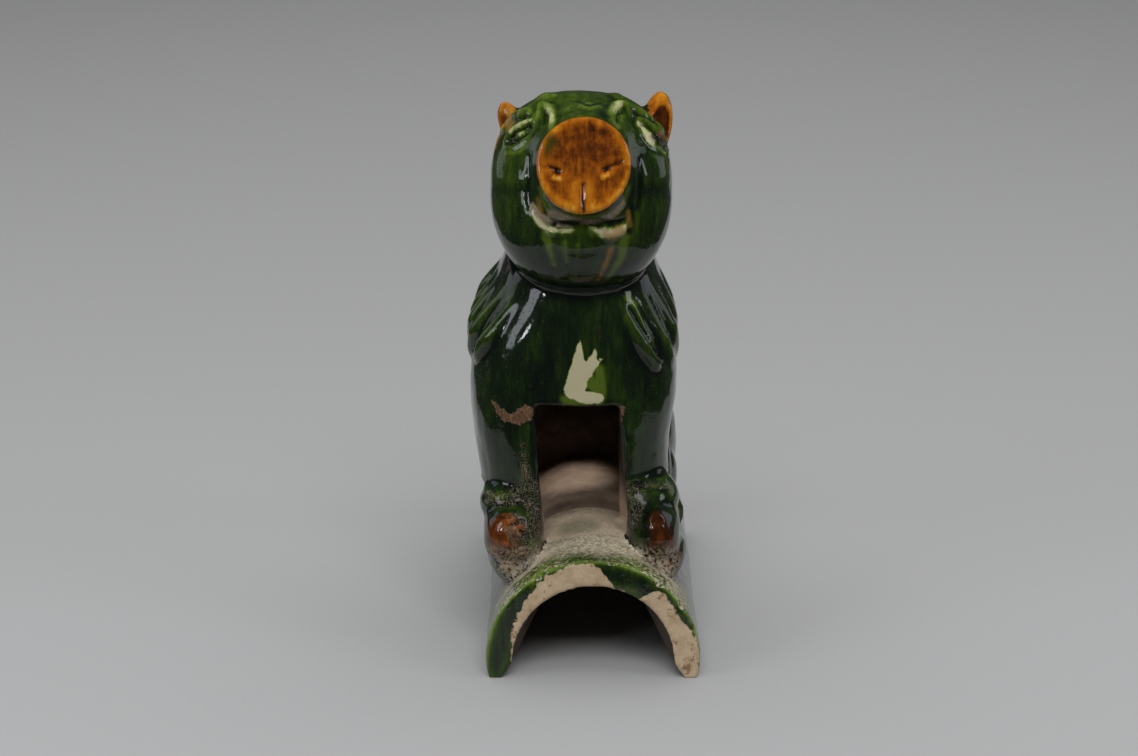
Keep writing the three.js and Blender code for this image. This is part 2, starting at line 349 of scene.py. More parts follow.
def frontHoof(side):
    shape = hooves[side]
    form = ball(40, 28)
    middle, size = Vector(shape["middle"]), shape["size"]
    for vert in form.verts:
        x, y, z = vert.co
        blunt = reachOf(2.6, x, y, z)
        x, y, z = x * blunt, y * blunt, z * blunt
        toe = max(0, -y)
        taper = 1 - shape["narrow"] * toe * (z + 0.6) / 1.6
        lift = 0.25 * toe * (1 - abs(x)) * max(0, z)
        depth = 1 - 0.3 * max(0, -z) * toe
        across = size[0] * x * taper + shape["toe"] * toe
        vert.co = middle + Vector((across, size[1] * y * depth, size[2] * (z + lift)))
    below = (side * footing["x"] - 3.5, footing["y"], footing["z"])
    under = egg(below, footing["size"], (0, side * 30, 0))
    return [form, egg(shape["ankle"], ankleSize, (-6, 0, side * 4)), under]


# the beast turns its head a little, so its two ears are seen differently
ears = {
    -1: {
        "leaf": (-39.5, -1, 37.5), "cup": (-43.5, 5, 37), "size": (5.6, 8, 13.5), "turn": (-12, -16, 42),
    },
    1: {"leaf": (42, 3, 36.5), "cup": (44, 9.5, 35), "size": (9, 6.5, 19.5), "turn": (-12, 6, -10)},
}


def ear(side):
    shape = ears[side]
    leaf = egg(onHead(*shape["leaf"]), shape["size"], shape["turn"])
    hole = [0.55 * shape["size"][0], shape["size"][1], 0.68 * shape["size"][2]]
    cup = egg(onHead(*shape["cup"]), hole, shape["turn"])
    return leaf, cup


# the swelling round each eye and the brow over it
eyeMound = {"right": 36, "middle": 2.5, "forward": 24, "up": 31, "size": (8.5, 7, 5.6)}
browMound = {"right": 27, "middle": 1, "forward": 22, "up": 42, "size": (14, 8, 6)}


def mounds(side):
    made = []
    for mound, turn in ((eyeMound, (0, side * 34, 0)), (browMound, (0, side * 36, side * -20))):
        place = onHead(mound["middle"] + side * mound["right"], mound["forward"], mound["up"])
        made.append(egg(place, mound["size"], turn))
    return made


def arch(form, start, centre, axis, steps):
    # half a turn of points, given back as its first and last
    first = form.verts.new(start)
    spun = bmesh.ops.spin(form, geom=[first], cent=centre, axis=axis, angle=math.pi, steps=steps)
    return first, spun["geom_last"][0]


def drawnOut(form, along):
    # the outline filled and drawn out to a solid
    face = bmesh.ops.contextual_create(form, geom=form.edges)["faces"]
    pulled = bmesh.ops.extrude_face_region(form, geom=face)["geom"]
    moved = [g for g in pulled if isinstance(g, bmesh.types.BMVert)]
    bmesh.ops.translate(form, verts=moved, vec=along)
    bmesh.ops.triangulate(form, faces=form.faces)
    return outwards(form)


def tileForm(halfWidth, rise, footIn, extra):
    form = bmesh.new()
    springing = rise - halfWidth
    ends = tile["length"] / 2 + extra
    centre = (0, -ends, springing)
    start, last = arch(form, (halfWidth, -ends, springing), centre, (0, -1, 0), tile["steps"])
    feet = [form.verts.new((s * (halfWidth - footIn), -ends, z)) for s in (1, -1) for z in (0, -extra)]
    for pair in ((start, feet[0]), feet[:2], (last, feet[2]), feet[2:], feet[1::2]):
        form.edges.new(pair)
    bmesh.ops.remove_doubles(form, verts=form.verts, dist=1e-4)
    return drawnOut(form, (0, 2 * ends, 0))


def sectionAt(z):
    heights = [s[0] for s in torso["sections"]]
    return [z] + [float(np.interp(z, heights, [s[k] for s in torso["sections"]])) for k in range(1, 6)]


def smoothLine(points, count):
    # evenly numbered points on a spline through a few given ones
    return [Vector(between(points, k / (count - 1))) for k in range(count)]


def roundTorso(angle, z):
    # the place on the torso's side at this bearing and height, and which way it faces
    section = sectionAt(z)
    places = [onSection(section, math.radians(angle) + step) for step in (0, 0.01)]
    along = (places[1] - places[0]).normalized()
    return places[0], along, Vector((along.y, -along.x, 0))


# ribs of the wing as (bearing, height) places, half width, and how proud the top and the foot stand;
# the chest is turned a little to one side, so the left wing sits further back
wing = {
    "leftBack": 13,
    "rightFlatter": 0.6,
    "ribs": [
        ([(-60, 210), (-57, 197), (-53, 181), (-47, 167)], 7, 0.5, 6.5),
        ([(-47, 212), (-44, 200), (-40, 183), (-34, 164)], 7.5, 0, 6.5),
        ([(-31, 213), (-29, 202), (-26, 185), (-19, 163)], 8.5, 0, 7),
        ([(-15, 214), (-13, 203), (-10, 190), (-4, 169)], 8.5, 0.5, 6.5),
        ([(1, 214), (3, 205), (5, 194), (9, 177)], 8, 1, 6),
    ],
}


def onWing(side, angle, z):
    if side < 0:
        angle = 180 - (angle + wing["leftBack"])
    place, along, outward = roundTorso(angle, z)
    return place, along * side, outward


def rib(side, line, halfWidth, proudTop, proudFoot):
    form = ball(20, 32)
    points = smoothLine(line, 41)
    for vert in form.verts:
        spot = (vert.co.z + 1) / 2 * 40
        low = min(int(spot), 39)
        here = points[low].lerp(points[low + 1], spot - low)
        place, along, outward = onWing(side, here.x, here.y)
        proud = proudTop + (proudFoot - proudTop) * min(1, spot / 26)
        if side > 0 and line[0][0] > -50:
            proud *= wing["rightFlatter"]
        vert.co = place + along * vert.co.y * halfWidth + outward * vert.co.x * proud
    return outwards(form)


def tube(points, radius, count=30):
    line = smoothLine(points, count)
    form = ball(14, count)
    for vert in form.verts:
        along = (vert.co.z + 1) / 2 * (count - 1)
        low = min(int(along), count - 2)
        here = line[low].lerp(line[low + 1], along - low)
        heading = (line[low + 1] - line[low]).normalized()
        aside = heading.cross(Vector((0, 1, 0.2))).normalized()
        other = heading.cross(aside)
        blunt = 1 if abs(vert.co.z) < 0.8 else 1.15
        vert.co = here + (aside * vert.co.x + other * vert.co.y) * radius * blunt
    return outwards(form)


tail = {
    "line": [(-9, 88, 72), (-8, 94, 84), (-5, 93, 104), (4, 88, 118), (12, 87, 112), (9, 90, 102)],
    "radius": 5.2,
}


def buildHollow():
    wall = hollow["wall"]
    low = [
        (z, x, front + wall, back - wall, half - wall, power)
        for z, x, front, back, half, power in torso["sections"][:6]
    ]
    return loft(low + hollow["neck"], 40, 40)


def legBlocks():
    left, right = gaps["frontTopSides"]
    back, top = gaps["legBack"], gaps["legTop"]
    return block((-100, -120, 0), (left - 1, back, top)), block((right + 1, -120, 0), (100, back, top))


def buildOpenings():
    left, right = gaps["frontTopSides"]
    front = block((left, -120, gaps["floor"]), (right, -50, gaps["frontTop"]))
    footZ = tile["rise"]
    for vert in front.verts:
        if vert.co.z < footZ:
            place = 0 if vert.co.x < 0 else 1
            splay = gaps["frontFootSides"][place] - gaps["frontTopSides"][place]
            slope = splay / (gaps["frontTop"] - footZ)
            vert.co.x += slope * (gaps["frontTop"] - gaps["floor"])
    radius = (gaps["sideBack"] - gaps["sideFront"]) / 2
    middle = (gaps["sideBack"] + gaps["sideFront"]) / 2
    side = bmesh.new()
    springing = gaps["sideTop"] - radius
    centre = (-100, middle, springing)
    start, last = arch(side, (-100, middle + radius, springing), centre, (1, 0, 0), 24)
    feet = [side.verts.new((-100, middle + s * radius, gaps["floor"])) for s in (1, -1)]
    for pair in ((start, feet[0]), feet, (feet[1], last)):
        side.edges.new(pair)
    return front, drawnOut(side, (200, 0, 0))


# the big forms, run together as soft clay
bigForms = [
    loft(torso["sections"], torso["around"], torso["rings"]),
    skull(),
    onSnout(snout["base"]),
    egg(onHead(*jaw["at"]), jaw["size"], (-head["tilt"], 0, 0), 40, 24),
]
for side in (-1, 1):
    bigForms += hindLeg(side)
body = joined(bigForms, "body")
remeshed(body, 2.2)
smoothed(body, 6)
print("body", len(body.data.polygons))

# the crisp forms set on it
crisp = [
    onSnout(snout["disc"]),
    tube(tail["line"], tail["radius"]),
    tileForm(tile["halfWidth"], tile["rise"], tile["footTuck"], 0),
]
cups = []
for side in (-1, 1):
    crisp += frontHoof(side)
    crisp += [rib(side, *shape) for shape in wing["ribs"]]
    leaf, cup = ear(side)
    crisp.append(leaf)
    cups.append(cup)
    crisp += mounds(side)
extras = joined(crisp, "extras")


def together(name, *pieces):
    whole = bmesh.new()
    for piece in pieces:
        whole.from_mesh(piece.data)
    return meshed(whole, name)


# the outer skin alone, before anything is hollowed, tells how deep in the wall a place lies
outer = together("outer", body, extras)
remeshed(outer, 2.0)
skinTree = treeOf(outer)

frontGap, sideGap = (meshed(form, name) for form, name in zip(buildOpenings(), ("frontGap", "sideGap")))
inside = meshed(buildHollow(), "inside")
legs = joined(legBlocks(), "legs")
cut(inside, legs)
for cutter in (inside, sideGap, frontGap):
    cut(body, cutter)
beast = together("ridgeBeast", body, extras)
remeshed(beast, 1.6)
tunnelForm = tileForm(
    tile["halfWidth"] - tile["wall"], tile["rise"] - tile["wall"],
    tile["footTuck"] + tile["footFlat"] - tile["wall"], 10,
)
tunnel = meshed(tunnelForm, "tunnel")
earCups = joined(cups, "earCups")
for cutter in (tunnel, earCups):
    cut(beast, cutter)
remeshed(beast, detail)
smoothed(beast, 2)
for helper in (body, extras, outer, frontGap, sideGap, inside, tunnel, earCups, legs):
    bpy.data.objects.remove(helper)
print("hollowed", len(beast.data.polygons))


def numbersOf(made, kind):
    numbers = np.empty(len(made.data.vertices) * 3)
    made.data.vertices.foreach_get(kind, numbers)
    return numbers.reshape(-1, 3)


def depthInWall(made):
    return np.array([skinTree.find_nearest(vert.co)[3] for vert in made.data.vertices])


def fromTile(co):
    # how far outside the tile's round
    return np.hypot(co[:, 0], co[:, 2] - tile["rise"] + tile["halfWidth"]) - tile["halfWidth"]


# fewer faces where nobody looks: inside the body and under the tile
hidden = beast.vertex_groups.new(name="hidden")
depth = depthInWall(beast)
spots = numbersOf(beast, "co")
depth[(fromTile(spots) > -4) & (spots[:, 2] < 78) & (np.abs(spots[:, 0] + 8) < 34)] = 0
for share in (0.25, 0.5, 0.75, 1):
    ring = np.flatnonzero(np.clip((depth - 3) / 3, 0, 1) > share - 0.125)
    hidden.add([int(k) for k in ring], share, "REPLACE")
triangles = sum(len(face.vertices) - 2 for face in beast.data.polygons)
if triangles > wantedTriangles:
    thinner = beast.modifiers.new("thinner", "DECIMATE")
    thinner.ratio = wantedTriangles / triangles
    thinner.vertex_group = "hidden"
    thinner.vertex_group_factor = 6
    applied(beast)
print("thinned", len(beast.data.polygons))

# lines on the skin: "face" is (right, up) on the head, "front" (x, z), "top" (x, y),
# "left" and "right" are (bearing, height) on a wing


def onSkin(tree, where, points):
    placed = []
    for a, b in points:
        if where == "face":
            start, aim = onHead(a, 120, b), -headForward
        elif where == "front":
            start, aim = Vector((a, -220, b)), Vector((0, 1, 0))
        elif where == "top":
            start, aim = Vector((a, b, 76)), Vector((0, 0, -1))
        elif where == "ear":
            start, aim = onHead(a, 40, b), -headForward
        else:
            place, _, outward = onWing(1 if where == "right" else -1, a, b)
            start, aim = place + outward * 60, -outward
        spot = tree.ray_cast(start, aim)[0]
        if spot is not None:
            placed.append(spot)
    return placed


def nearTo(co, line, reach):
    # which points lie near the line, how far from it, and how far along it
    line = np.array(line)
    close = np.flatnonzero(np.all((co > line.min(0) - reach) & (co < line.max(0) + reach), axis=1))
    points = co[close]
    best = np.full(len(close), 1e9)
    along = np.zeros(len(close))
    for k in range(max(1, len(line) - 1)):
        start = line[k]
        step = line[min(k + 1, len(line) - 1)] - start
        share = np.clip((points - start) @ step / max(step @ step, 1e-9), 0, 1)
        away = np.linalg.norm(points - start - share[:, None] * step, axis=1)
        nearer = away < best
        best[nearer] = away[nearer]
        along[nearer] = (k + share[nearer]) / max(1, len(line) - 1)
    return close, best, along


def curveOnSkin(tree, where, points):
    if len(points) > 2:
        points = [(p.x, p.y) for p in smoothLine([(a, b, 0) for a, b in points], 6 * len(points))]
    return onSkin(tree, where, points)


grooves = [
    ([(-42, 208), (-40, 194), (-36, 176)], 1.3, -1.6),
    ([(-26, 208), (-24, 194), (-20, 174)], 1.3, -1.6), ([(-11, 208), (-9, 194), (-6, 178)], 1.3, -1.6),
]
# strokes of a tool: where, the line, half width, and how high it raises (or presses) the clay
strokes = {
    "face": [
        ([(-25.5, -12.6), (-22.4, -17.2), (-17.5, -19.6), (-9.3, -19.4),
          (0.6, -18.9), (10.5, -18.5), (19.9, -18.6), (26, -15)], 1.2, -2),
        ([(-25.5, -15), (-19, -22.6), (-12, -24), (-3, -23.4)], 2, 1.6),
        ([(3, -23), (10, -24.5), (17, -25), (24.5, -22)], 2.6, 2),
        ([(27.5, -9), (28, -17), (26, -25)], 1.5, -1.6),
        ([(-21, -8), (-16, -14.5), (-6, -16.6)], 1.4, 0.9),
        ([(0.9, 14), (0.8, 8), (0.3, -2)], 0.7, -0.4), ([(0.4, 2), (0.2, -4), (0.9, -13.4)], 0.9, -1.4),
        ([(-13.4, 8.4), (-14.2, 9)], 1.7, -2.4),
        ([(-13.4, 8.6), (-16, 10.4), (-18.6, 10.8)], 1.1, -1.3), ([(-15.5, 5), (-12.4, 4)], 1.4, 1.1),
        ([(12.8, 9.4), (13.8, 10.2)], 1.7, -2.4), ([(13, 9.8), (17, 12), (22, 13.8)], 1, -1.3),
        ([(3, 36), (6.5, 29), (6, 24)], 0.7, -0.5), ([(-3.6, 17), (-3, 8)], 0.6, -0.35),
        ([(11.3, 5), (13.6, 6.6)], 1.4, 1.1),
        ([(-43, 23.6), (-39.6, 30.4), (-34, 35.2), (-28, 37), (-25, 34.8)], 1.5, 1.9),
        ([(-43, 23.4), (-38, 22.6), (-32, 25.6), (-27, 30.2), (-25, 34.4)], 1.5, 1.5),
        ([(-39.8, 26.4), (-36.4, 30.6), (-32, 33.2), (-28.4, 34)], 1, -1.7),
        ([(-38.4, 25.4), (-34, 26.8), (-29.6, 30.4)], 1, -1.5),
        ([(-33.9, 29.9), (-33.2, 30.3)], 2.6, 1.8),
        ([(-44.5, 30.5), (-40.4, 37.6), (-33.6, 42.6), (-28, 41.4), (-24.8, 38)], 2.3, 1.8),
        ([(-42, 32.4), (-36.5, 38.2), (-30, 39.4)], 1, -1.2),
        ([(-24.6, 36), (-23.4, 41), (-22.2, 46), (-18.6, 44.6), (-16.2, 40), (-17, 34)], 1.9, 2.4),
        ([(-21.6, 35), (-20.6, 40.4), (-19.6, 42)], 1.1, -1.6),
        ([(29.5, 38.6), (34.7, 37.4), (40.8, 32.4), (45.3, 25.6), (47.6, 19.8)], 1.5, 1.7),
        ([(29.5, 38), (32, 30.4), (37.5, 24.2), (43.1, 20.4), (47.4, 19.6)], 1.6, 1.4),
        ([(32.4, 35.4), (37.2, 32.8), (42.6, 26.4)], 1, -1.4), ([(39.6, 28.6), (40.2, 28)], 2.6, 1.6),
        ([(22, 47), (27.5, 45.6), (33, 42.4), (40, 37), (45.6, 30)], 2.2, 1.7),
        ([(27.5, 41.6), (33, 39.4), (39, 34.8)], 1, -1.2),
        ([(16, 34), (15.5, 40), (17.6, 45.6), (22, 47), (26, 44), (27, 39)], 1.9, 2.3),
        ([(19.6, 35), (20, 41), (22.4, 42.4)], 1.1, -1.6),
        ([(-6, 48.6), (-1, 47.4), (3.6, 45.4), (8.6, 46.6), (13, 48.4)], 1, -0.5),
        ([(-3, 44), (3, 42.2), (8, 43)], 0.9, -0.4),
        ([(-29, 20), (-29.6, 8), (-30, -4), (-28, -12)], 1.8, -1.3),
        ([(31.5, 18), (32.2, 6), (32, -6), (30, -13)], 1.8, -1.3),
        ([(-26, 53), (-20, 52), (-14, 50)], 4.5, 1.6), ([(16, 51), (23, 53), (29, 52)], 4.5, 1.8),
    ],
    "right": [([(-58, 205), (-54, 192), (-50, 180), (-45, 172)], 1.7, -2.4), *grooves],
    "left": [([(-56, 205), (-53, 192), (-49, 180), (-44, 172)], 1.5, -1.6), *grooves],
    "front": [
        ([(-66, 95), (-55, 93.5), (-44, 95.5), (-33, 99)], 1.5, 0.7),
        ([(-66, 90.5), (-55, 89.5), (-44, 91), (-32, 95)], 1.3, -0.7),
        ([(-64, 86), (-54, 85.5), (-44, 87)], 1, -0.4),
        ([(17, 102), (26, 103), (36, 102), (44, 101)], 1.4, 0.7),
        ([(17, 98), (26, 99), (36, 98), (44, 97)], 1.3, -0.7),
        ([(-45.5, 76), (-42.5, 71), (-40, 67)], 2.6, -2.8), ([(-40.5, 79), (-37.5, 73)], 2, -2),
        ([(-46, 82), (-40, 84)], 1.8, -1.2), ([(35.6, 85.4), (38.4, 85)], 1.8, -1.8),
    ],
}


def refined(made, lines, reach):
    # smaller faces under the finest strokes
    form = bmesh.new()
    form.from_mesh(made.data)
    co = np.array([vert.co for vert in form.verts])
    chosen = np.zeros(len(co), bool)
    for line, width in lines:
        close, away, _ = nearTo(co, line, reach + width)
        chosen[close[away < reach + width]] = True
    edges = [e for e in form.edges if chosen[e.verts[0].index] and chosen[e.verts[1].index]]
    bmesh.ops.subdivide_edges(form, edges=edges, cuts=1, use_grid_fill=True)
    bmesh.ops.triangulate(form, faces=[f for f in form.faces if len(f.verts) > 4])
    form.to_mesh(made.data)
    form.free()


tree = treeOf(beast)
drawn = [
    (curveOnSkin(tree, where, points), width, rise)
    for where, lines in strokes.items() for points, width, rise in lines
]
fine = [
    (line, width) for line, width, _ in drawn
    if width < fineStroke["width"] and line[0].z > fineStroke["above"]
]
refined(beast, fine, fineStroke["reach"])
co = numbersOf(beast, "co")
facing = numbersOf(beast, "normal")
depth = depthInWall(beast)

# the slight unevenness of hand pressing, none on the tile's feet
uneven = {"broad": (0.03, 0.9), "fine": (0.1, 0.22)}
waves = np.zeros(len(co))
for scale, strength in uneven.values():
    waves += strength * np.array([noise.noise(Vector(point) * scale) for point in co])
waves *= np.clip((co[:, 2] - 6) / 12, 0, 1) * np.clip((124 - np.abs(co[:, 1])) / 6, 0, 1)
co = co + facing * waves[:, None]
for line, width, rise in drawn:
    close, away, along = nearTo(co, line, width * 2.6)
    ends = 1 if len(line) < 3 else np.clip(np.minimum(along, 1 - along) * 7 + 0.25, 0, 1)
    co[close] += facing[close] * (rise * np.exp(-((away / width) ** 2)) * ends)[:, None]

# chips along the tile's front rim
chips = [(-33, 1.7), (-29, 1.3), (9.5, 1.5), (14, 1.0), (24, 0.9), (37, 1.8), (49.5, 1.5), (56, 1.2)]


def rimPoint(x):
    springing = tile["rise"] - tile["halfWidth"]
    return Vector((x, -tile["length"] / 2, springing + math.sqrt(max(0, tile["halfWidth"]**2 - x * x))))


for x, size in chips:
    close, away, _ = nearTo(co, [rimPoint(x), rimPoint(x + 1)], size * 3)
    inward = np.array([-x / 60, 1.2, -1.0])
    co[close] += inward * (0.75 * size * np.exp(-((away / (size * 1.3)) ** 2)))[:, None]
beast.data.vertices.foreach_set("co", co.ravel())
beast.data.update()
print("strokes", len(drawn), "triangles", sum(len(f.vertices) - 2 for f in beast.data.polygons))

# where the glaze is thick or thin, stained, worn or missing, and where highlights and shade are painted
# on, each as millimetres inside its patch
patches = {
    # cream glaze on the chest, lips and eyelids, with painted highlights on the inner brows and under
    # the nostrils
    "cream": {
        "front": [
            ([(-7.6, 187), (-8, 177), (-8.4, 167)], 0.4, 5.4), ([(-8.4, 168), (-11, 158)], 5.2, 5.4),
            ([(1.4, 181), (-0.4, 175), (-4, 168.5)], 1, 4.2), ([(-6, 165), (-7.6, 157)], 3.6, 3),
            ([(4.8, 176), (0, 171.5)], 1, 2.2), ([(-12, 157), (-6, 154), (2.6, 153)], 3.8, 3.4),
        ],
        "face": [
            ([(-26.4, -11.6), (-23.6, -17.6), (-20, -21.6)], 2, 1.6),
            ([(-20, -21.8), (-12, -23.4), (-5, -22.8)], 1.6, 1.2),
            ([(4.5, -21.6), (10, -23.6), (15, -25.4)], 1, 3),
            ([(12, -24.6), (18, -24.4), (23, -22)], 3.4, 2.6),
            ([(-39.4, 31.6), (-34, 36), (-28, 37.6)], 1.1, 0.8),
            ([(-33.8, 29.8), (-33, 30.2)], 1.7, 1.7), ([(31.4, 35.6), (35, 31), (38.4, 26)], 2.3, 3),
            ([(-14.4, 4.6), (-12.2, 4.2)], 1.1, 1.1), ([(11.6, 5.6), (13.2, 6.4)], 1.1, 0.9),
            ([(-21.4, 46), (-17.4, 41), (-16.4, 37)], 1, 1.2), ([(20.4, 46.4), (17.8, 42)], 1.6, 1.4),
        ],
    },
    # pale thin glaze on the chest, chin drips and round the disc foot, with painted highlights on the
    # inner brows, under the left eye, along the right cheek's edge and on the right wing's first rib
    "pale": {
        "face": [
            ([(-22, -1), (-20.5, -8), (-12, -14.6),
              (0, -16), (10, -15.8), (21, -10), (25, 0)], 2.6, 2.2),
            ([(-19.8, -25.6), (-17.6, -34), (-15.4, -42)], 3, 1), ([(-9, -30), (-8.4, -40)], 1.3, 0.6),
            ([(-2.4, -31), (-2.2, -38)], 0.9, 0.4), ([(23, -27), (21.6, -38), (15, -48)], 3.2, 1.8),
            ([(-17.6, 46), (-16.4, 39), (-17, 33)], 2.8, 2.2), ([(-24, 46), (-24.6, 39)], 1, 1),
            ([(-42, 20), (-34, 20.6), (-28, 27)], 1.4, 1.2), ([(-37.4, 34), (-31, 37.4)], 2.4, 2),
            ([(19.6, 47), (17.4, 41), (19, 34)], 3.4, 2.4),
            ([(41, 24), (45.6, 20.6), (49, 8)], 1.8, 1.2),
        ],
        "front": [
            ([(-15.5, 152), (-3, 150.2)], 3.2, 2), ([(3.4, 170), (5, 158), (3.6, 151)], 3.2, 2.4),
            ([(-4, 164), (2, 160), (1, 156)], 4.6, 3.6),
        ],
        "right": [([(-58, 209), (-54, 205)], 2.4, 2)],
    },
    # dark pooled glaze in the forehead wrinkles and the right pupil, and painted shade in the mouth
    # line, nostrils, philtrum, eye grooves, ear cup and the left hoof's chip
    "dark": {
        "face": [
            ([(-26, -11.8), (-17.5, -19.2), (-9.3, -20), (10.5, -18.5), (24, -16)], -0.5, 0.2),
            ([(-38, 27.4), (-37.2, 30.4), (-34.6, 33)], 1.5, 0.7),
            ([(-42, 24.4), (-37.6, 24.6), (-34, 26.4)], 1.1, 0.7),
            ([(-13.4, 8.4), (-14.6, 9.2)], 1, 0.8), ([(-14.6, 9.6), (-18.6, 10.8)], 0.3, 0),
            ([(12.8, 9.4), (14, 10.2)], 1, 0.8), ([(14, 10.4), (22, 13.8)], 0.3, 0),
            ([(0.4, 1), (0.3, -6), (0.9, -13.2)], 0.1, 1), ([(39.8, 29.2), (40.6, 28.2)], 2.1, 1.7),
            ([(-2, 47.6), (3.6, 45.4), (8.6, 46.6)], 0.7, 1.3), ([(27.4, 44), (28.4, 39)], 1, 0.8),
        ],
        "ear": [([(45.6, 33.4), (45.6, 30)], 1.8, 1.4)],
        "front": [
            ([(-40, 73.6), (-39.4, 71)], 2, 1.6), ([(-50, 141), (-52, 144)], 1.2, 1.2),
        ],
    },
    "amber": {
        "ear": [
            ([(38.6, 50), (42.6, 46), (45, 34), (46, 20)], 8.5, 6.5),
            ([(-44, 48), (-46, 36), (-46, 28)], 7.5, 6.5),
        ],
        "front": [
            ([(-57, 76), (-53, 68), (-46, 62)], 8.5, 7.5), ([(-50, 83), (-44, 80)], 6, 5),
            ([(37, 84), (40, 74), (42, 62)], 4.5, 11),
        ],
    },
    "honey": {
        "face": [
            ([(13, -24.6), (17, -26), (21, -23)], 2.2, 3.4), ([(25.4, -13), (26, -20)], 1, 1.6),
            ([(16, -33), (13, -42), (9, -50)], 1.6, 0.8), ([(-24, -6), (-22.4, -13)], 1.2, 1.4),
        ],
        "ear": [([(-40, 44), (-40, 34)], 3, 3)],
    },
    "flesh": {
        "face": [
            ([(-27, -9.6), (-23.4, -14.6), (-18.6, -18)], 1.5, 2),
            ([(-17, -13.6), (-8, -16.8), (4, -17.4), (15, -15.6), (22, -9)], 1.9, 1.9),
            ([(-13, -20.6), (-6, -21)], 0.9, 0.6),
        ],
    },
    "stain": {
        "face": [([(-16.6, 25), (-18.6, 19)], 3.4, 2)],
    },
    "rust": {
        "front": [
            ([(-56.5, 148.4), (-52.4, 143.4), (-45, 140.6), (-37.4, 144)], 1.6, 4.6),
            ([(-44.4, 137), (-42, 128), (-39.4, 119), (-38, 106)], -0.6, 0.2),
            ([(16.4, 147.6), (15.6, 138), (16.6, 126)], 1, 1.8),
            ([(-46.8, 79), (-44, 72), (-41, 67)], 3.6, 3),
        ],
        "ear": [([(43.6, 29.6), (46, 23.6)], 2, 1.4)],
    },
    "scuff": {
        "front": [
            ([(-60, 92.6), (-48, 93), (-36, 97)], 3, 6.5),
            ([(-37, 96), (-33, 82), (-34, 66)], 6.5, 5.5), ([(-44, 84), (-38, 76)], 5, 5),
            ([(19, 98), (25, 93), (24, 82)], 4.5, 6), ([(30, 99), (45, 97)], 2, 2),
            ([(-40, 126), (-38, 104)], 0.5, 3.5), ([(3, 204), (4, 186)], -0.5, -0.5),
        ],
    },
    "dust": {
        "top": [
            ([(-24, -76), (-30, -98), (-40, -106), (-55, -100)], 4.5, 2.5),
            ([(13, -78), (19, -98), (33, -107), (53, -99)], 4, 1.5),
        ],
        "front": [
            ([(-52, 62), (-44, 60), (-36, 64)], 0, 2), ([(-43, 78), (-38, 70)], 1.5, 2.5),
        ],
    },
}


outside = -12.0  # a patch's value well away from it


def ramped(values, low, high):
    return np.clip((values - low) / (high - low), 0, 1)


def patchField(co, tree, shapes):
    field = np.full(len(co), outside)
    for where, lines in shapes.items():
        for points, startRadius, endRadius in lines:
            line = curveOnSkin(tree, where, points)
            if len(line) > 1:
                close, away, along = nearTo(co, line, max(startRadius, endRadius) + 12)
                inside = startRadius + (endRadius - startRadius) * along - away
                field[close] = np.maximum(field[close], inside)
    return field


def meanOfNeighbours(values, ends, counts):
    total = np.zeros_like(values)
    for k in range(values.shape[1]):
        total[:, k] += np.bincount(ends[:, 0], values[ends[:, 1], k], len(values))
        total[:, k] += np.bincount(ends[:, 1], values[ends[:, 0], k], len(values))
    return total / counts[:, None]


tree = treeOf(beast)
facing = numbersOf(beast, "normal")
ends = np.empty(len(beast.data.edges) * 2, int)
beast.data.edges.foreach_get("vertices", ends)
ends = ends.reshape(-1, 2)
counts = np.maximum(1, np.bincount(ends.ravel(), minlength=len(co)))
softened = co.copy()
for _ in range(10):
    softened = 0.4 * softened + 0.6 * meanOfNeighbours(softened, ends, counts)
pooled = np.sum((softened - co) * facing, axis=1)  # above 0 in hollows, below on edges

fields = {name: patchField(co, tree, shapes) for name, shapes in patches.items()}
coX, coY, coZ = co.T
fromHead = co - np.array(headMiddle)
right, forward, up = fromHead[:, 0], fromHead @ np.array(headForward), fromHead @ np.array(headUp)
fromDisc = np.hypot(right - snout["right"], (up - snout["rise"]) / snout["tall"])
onDisc = np.minimum(26.4 - fromDisc, forward - 60.4)
offTile = fromTile(co)
besideEars = (up > 12) & ((forward > 15.5) | (np.abs(right) < 36.5))
fields["amber"] = np.maximum(np.where(besideEars, outside, fields["amber"]), onDisc)
atEars = (np.abs(right) > 34) & (up > 12) & (forward < 30)
fields["bare"] = np.where(atEars, -6, depth - 3.2)
footGlaze = np.maximum(fields["bare"], 0.7 - 2 * coZ)
fields["bare"] = np.where(fields["bare"] < 0, footGlaze, fields["bare"])
onCrown = (offTile < 1.6) & (offTile > -4) & (coY < -30) & (coZ > 40)
crownDust = 4.5 - 14 * ramped(-coZ, -64, -52) - 7 * ramped(-coY, 86, 120) - 4 * ramped(coY, -50, -38)
fields["dust"] = np.where(offTile > 1.6, outside, fields["dust"])
fields["dust"] = np.where(onCrown, np.maximum(fields["dust"], crownDust), fields["dust"])

# how thick the glaze lies: thin on edges and the crown of the head, pooled dark on the body
glaze = {
    "body": 0.86,
    "head": -0.17,
    "crown": -0.08,
    "rightCheek": 0.05,
    "chin": 0.16,
    "flank": -0.10,
    "tile": -0.10,
    "tileFront": -0.24,
    "tileEnd": 0.3,
    "disc": 0.72,
    "discFoot": -0.14,
    "discRight": -0.07,
    "ears": 0.55,
    "leftHoof": 0.98,
    "rightHoof": 1.08,
    "pooling": 0.45,
}
onHeadShare = ramped(coZ, 228, 246) * ramped(forward + up, -70, -40)
headExtra = glaze["head"] + glaze["crown"] * ramped(up, 20, 45)
headExtra += glaze["rightCheek"] * ramped(right, 0, 45)
flank = ramped(np.abs(coX + 9), 44, 58) * ramped(coZ, 75, 105) * (1 - onHeadShare)
onTile = ramped(-coZ, -74, -66)
thickness = glaze["body"] + onHeadShare * (headExtra + glaze["chin"] * ramped(-up, 20, 45))
tileExtra = glaze["tileFront"] * ramped(-coY, 86, 106) + glaze["tile"]
